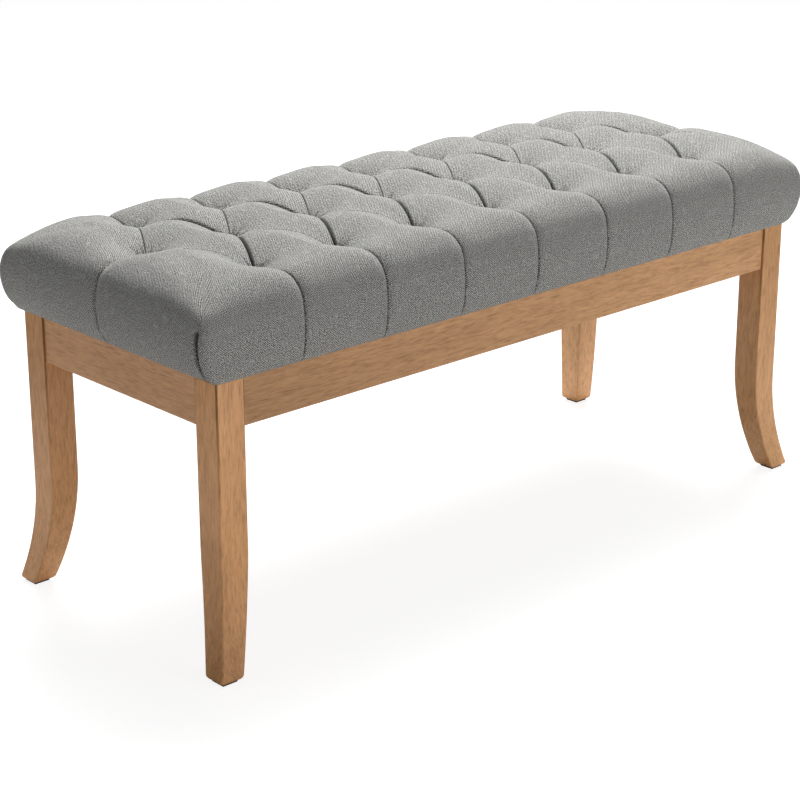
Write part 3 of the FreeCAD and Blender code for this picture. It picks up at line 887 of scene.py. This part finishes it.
def dust_cover_cloth(thickness=0.0005, folded=0.010):
    outline = dust_cover_outline()
    insets = [0.0, 0.0008, 0.002, folded, folded + 0.0015, folded + 0.006, 0.025, 0.045, 0.07, 0.10, 0.13]
    under, over = [], []
    for inset in insets:
        share_x = 1 - inset / tray_high.x
        share_y = 1 - inset / tray_high.y
        low, high = [], []
        for k, (x, y) in enumerate(outline):
            slack = 0.5 + 0.5 * math.sin(23.0 * x * share_x) * math.cos(31.0 * y * share_y + 4.0 * x)
            drop = min(1.0, inset / (folded + 0.006)) ** 2
            hang = (tray_high.z - tray_low.z - 0.0014) * drop + 0.0006 * slack * drop
            double = thickness if inset <= folded else 0.0
            low.append((x * share_x, y * share_y, tray_high.z - thickness - double - hang))
            high.append((x * share_x, y * share_y, tray_high.z - hang - 0.00005))
        under.append(low)
        over.append(high)
    return stacked_rings(under[::-1] + over)


dust_cloth = mesh_piece("dust_cloth", *dust_cover_cloth(), black.material)
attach(dust_cloth, "root")
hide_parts("dust_cover")


# Foot pads. Thin dark felt, stuck under each sole.

felt = NodeTree("dark_felt")
place = (felt.add("ShaderNodeTexCoord"), "Object")
fibres = felt.noise(place, 2200.0, 3.0, 0.7)
felt.join(*felt.ramp(fibres, [(0.3, (0.020, 0.018, 0.016)), (0.7, (0.070, 0.062, 0.055))]),
          felt.shader, "Base Color")
felt.shader.inputs["Roughness"].default_value = 0.95
felt.bump(fibres, 0.0004)
for node in cad:
    if node.startswith("foot_pad"):
        finish_node(node, felt.material)


# The stage: a plain white floor that keeps a soft shadow, and a white world.

floor_mesh = bpy.data.meshes.new("floor")
floor_mesh.from_pydata([(-9, -9, 0), (9, -9, 0), (9, 9, 0), (-9, 9, 0)], [], [(0, 1, 2, 3)])
floor = bpy.data.objects.new("floor", floor_mesh)
bpy.context.scene.collection.objects.link(floor)
floor_paint = NodeTree("white_floor")
floor_paint.shader.inputs["Roughness"].default_value = 1.0
floor_paint.shader.inputs["Specular IOR Level"].default_value = 0.0
rays = floor_paint.add("ShaderNodeLightPath")
floor_paint.shader.inputs["Emission Color"].default_value = (1.0, 1.0, 1.0, 1.0)
floor_paint.join(*floor_paint.blend((rays, "Is Camera Ray"), (0.82, 0.82, 0.82), (0.36, 0.36, 0.36)),
                 floor_paint.shader, "Base Color")
floor_paint.join(*floor_paint.calc("MULTIPLY", (rays, "Is Camera Ray"), 0.86),
                 floor_paint.shader, "Emission Strength")
floor_mesh.materials.append(floor_paint.material)

world = bpy.data.worlds.new("studio")
bpy.context.scene.world = world
world.use_nodes = True
sky = world.node_tree.nodes["Background"]
sky.inputs["Color"].default_value = (1.0, 1.0, 1.0, 1.0)
rays = world.node_tree.nodes.new("ShaderNodeLightPath")
level = world.node_tree.nodes.new("ShaderNodeMapRange")
level.inputs["To Min"].default_value = 0.19
level.inputs["To Max"].default_value = 1.0
world.node_tree.links.new(rays.outputs["Is Camera Ray"], level.inputs["Value"])
world.node_tree.links.new(level.outputs["Result"], sky.inputs["Strength"])


# Three soft lights: a large one high behind the bench, a fill from the front, and a faint one low on
# the left.

def softbox(name, place, target, size, power):
    lamp = bpy.data.lights.new(name, "AREA")
    lamp.shape = "RECTANGLE"
    lamp.size, lamp.size_y = size
    lamp.energy = power
    box = bpy.data.objects.new(name, lamp)
    bpy.context.scene.collection.objects.link(box)
    aim = Vector(target) - Vector(place)
    box.rotation_euler = aim.to_track_quat("-Z", "Y").to_euler()
    box.location = place


softbox("overhead", (1.0, 1.0, 3.0), (0.0, 0.0, 0.4), (2.2, 1.6), 155.0)
softbox("front_fill", (1.2, -3.8, 1.0), (0.1, 0.0, 0.2), (2.4, 1.4), 31.0)
softbox("low_left", (-3.4, -0.9, 0.25), (-0.5, -0.1, 0.1), (2.0, 0.4), 2.0)

# The camera, fitted to the edges of the frame in the photograph.
camera_place = (-1.9735, -2.0973, 1.2143)
camera_yaw = 0.7418
camera_pitch = 0.3450
camera_roll = -0.0019
forward = np.array([math.sin(camera_yaw) * math.cos(camera_pitch),
                    math.cos(camera_yaw) * math.cos(camera_pitch), -math.sin(camera_pitch)])
right = np.array([math.cos(camera_yaw), -math.sin(camera_yaw), 0.0])
above = np.cross(right, forward)
turned_right = math.cos(camera_roll) * right + math.sin(camera_roll) * above
turned_up = math.cos(camera_roll) * above - math.sin(camera_roll) * right
camera = bpy.data.cameras.new("camera")
camera.sensor_width = 36.0
camera.lens = 98.9
camera_object = bpy.data.objects.new("camera", camera)
bpy.context.scene.collection.objects.link(camera_object)
axes = np.stack([turned_right, turned_up, -forward], 1)
camera_object.matrix_world = Matrix.Translation(camera_place) @ Matrix(axes.tolist()).to_4x4()
bpy.context.scene.camera = camera_object
bpy.context.scene.view_settings.view_transform = "Standard"
